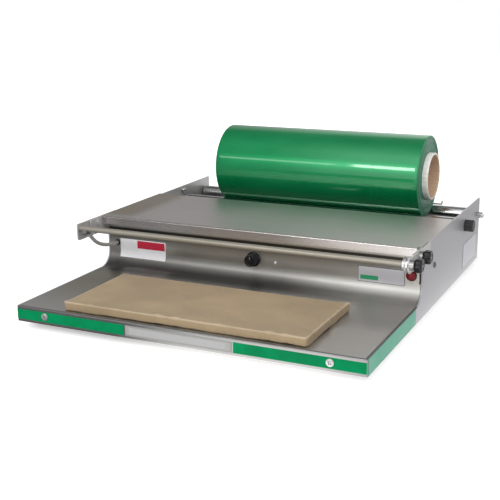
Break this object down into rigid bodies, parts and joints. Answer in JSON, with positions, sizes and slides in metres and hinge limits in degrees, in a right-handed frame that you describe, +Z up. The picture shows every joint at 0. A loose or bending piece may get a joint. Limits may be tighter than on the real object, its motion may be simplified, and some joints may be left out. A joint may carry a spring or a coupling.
{
  "type": "heat sealing machine",
  "caption": "Tabletop film wrapper: heated pad on a steel tray, hot cut-off rod on two arms, deck, and a film roll lying on two rollers.",
  "frame": {"origin": "on the floor, below the middle of the whole machine's box", "axes": "+X to the operator's right along the rod and rollers, +Y from the operator to the rear, +Z up"},
  "size_m": [0.599, 0.659, 0.249],
  "materials": {
    "brushed_steel": "satin brushed",
    "painted_side": "smooth satin paint",
    "zinc_pan": "dull zinc",
    "black_rubber": "matt",
    "bright_steel": "polished",
    "board": "matt board",
    "cast_alloy": "satin",
    "pad_cloth": "woven, coated",
    "heater_steel": "dull",
    "black_plastic": "glossy",
    "dark_plastic": "matt",
    "lamp_red": "clear glossy",
    "sleeve": "braided",
    "film": "clear wound film",
    "card": "matt card",
    "plate": "satin",
    "green": "satin",
    "ceramic": "matt"
  },
  "bodies": {
    "root": {"chassis_sheet": "brushed_steel", "left_side_panel": "painted_side", "right_side_panel": "painted_side", "rear_panel": "painted_side", "top_deck": "brushed_steel", "base_pan": "zinc_pan", "rubber_feet": "black_rubber", "foot_screws": "bright_steel", "pad_standoffs": "ceramic", "insulation_board": "board", "plate_heater": "heater_steel", "seal_plate": "cast_alloy", "seal_pad_cover": "pad_cloth", "pivot_stud": "bright_steel", "pivot_spacer": "cast_alloy", "left_pivot_rivet": "bright_steel", "pivot_washers": "bright_steel", "axle_spacers": "dark_plastic", "axle_nuts": "bright_steel", "front_axle": "bright_steel", "rear_axle": "bright_steel", "brake_disc": "dark_plastic", "acorn_nut": "bright_steel", "wire_guide": "bright_steel", "wire_clips": "bright_steel", "thermostat_body": "dark_plastic", "pilot_lamp_body": "black_plastic", "pilot_lamp_lens": "lamp_red", "signal_stud": "bright_steel", "lead_grommet": "black_rubber", "lead_sleeve": "sleeve", "front_plates": "plate", "centre_plate": "plate", "colour_trim": "green", "trim_screws": "bright_steel", "data_plate": "plate", "side_screw": "bright_steel", "dome_bolt": "bright_steel", "cord_gland": "black_plastic", "terminal_block": "ceramic"},
    "cutoff_arm": {"left_arm": "brushed_steel", "right_arm": "brushed_steel", "cutoff_rod": "bright_steel", "rod_heater": "heater_steel", "rod_left_rivet": "bright_steel", "rod_stud": "bright_steel", "rod_spacer": "cast_alloy", "rod_collar": "cast_alloy", "lead_boot": "sleeve"},
    "rod_knob": {"rod_knob": "black_plastic"},
    "pivot_knob": {"pivot_knob": "black_plastic"},
    "brake_knob": {"brake_knob": "dark_plastic"},
    "thermostat_knob": {"thermostat_knob": "black_plastic"},
    "film_roll": {"film_roll": "film", "film_core": "card"},
    "front_roller": {"front_roller": "bright_steel", "front_roller_bushes": "dark_plastic"},
    "rear_roller": {"rear_roller": "bright_steel", "rear_roller_bushes": "dark_plastic"}
  },
  "joints": [
    {"name": "arm_lift", "type": "hinge", "parent": "root", "child": "cutoff_arm", "pos_m": [0, -0.10045, 0.121], "axis": [-1, 0, 0], "range_deg": [0, 35], "deforming": ["lead_sleeve"]},
    {"name": "rod_knob_turn", "type": "hinge", "parent": "cutoff_arm", "child": "rod_knob", "pos_m": [0.29325, -0.14845, 0.1205], "axis": [1, 0, 0], "range_deg": [0, 270]},
    {"name": "pivot_knob_turn", "type": "hinge", "parent": "root", "child": "pivot_knob", "pos_m": [0.29275, -0.10045, 0.121], "axis": [1, 0, 0], "range_deg": [0, 270]},
    {"name": "brake_knob_turn", "type": "hinge", "parent": "root", "child": "brake_knob", "pos_m": [0.28525, 0.20155, 0.1], "axis": [1, 0, 0], "range_deg": [0, 270]},
    {"name": "thermostat_knob_turn", "type": "hinge", "parent": "root", "child": "thermostat_knob", "pos_m": [-0.00985, -0.07495, 0.0763], "axis": [0, 1, 0], "range_deg": [0, 270]},
    {"name": "film_roll_spin", "type": "hinge", "parent": "root", "child": "film_roll", "pos_m": [-0.00275, 0.24555, 0.17494], "axis": [1, 0, 0], "continuous": true},
    {"name": "front_roller_spin", "type": "hinge", "parent": "root", "child": "front_roller", "pos_m": [-0.0085, 0.20155, 0.1], "axis": [1, 0, 0], "continuous": true},
    {"name": "rear_roller_spin", "type": "hinge", "parent": "root", "child": "rear_roller", "pos_m": [-0.0085, 0.28955, 0.1], "axis": [1, 0, 0], "continuous": true}
  ],
  "couplings": [
    {"joint": "front_roller_spin", "follows": "film_roll_spin", "ratio": -5.928},
    {"joint": "rear_roller_spin", "follows": "film_roll_spin", "ratio": -5.928}
  ]
}
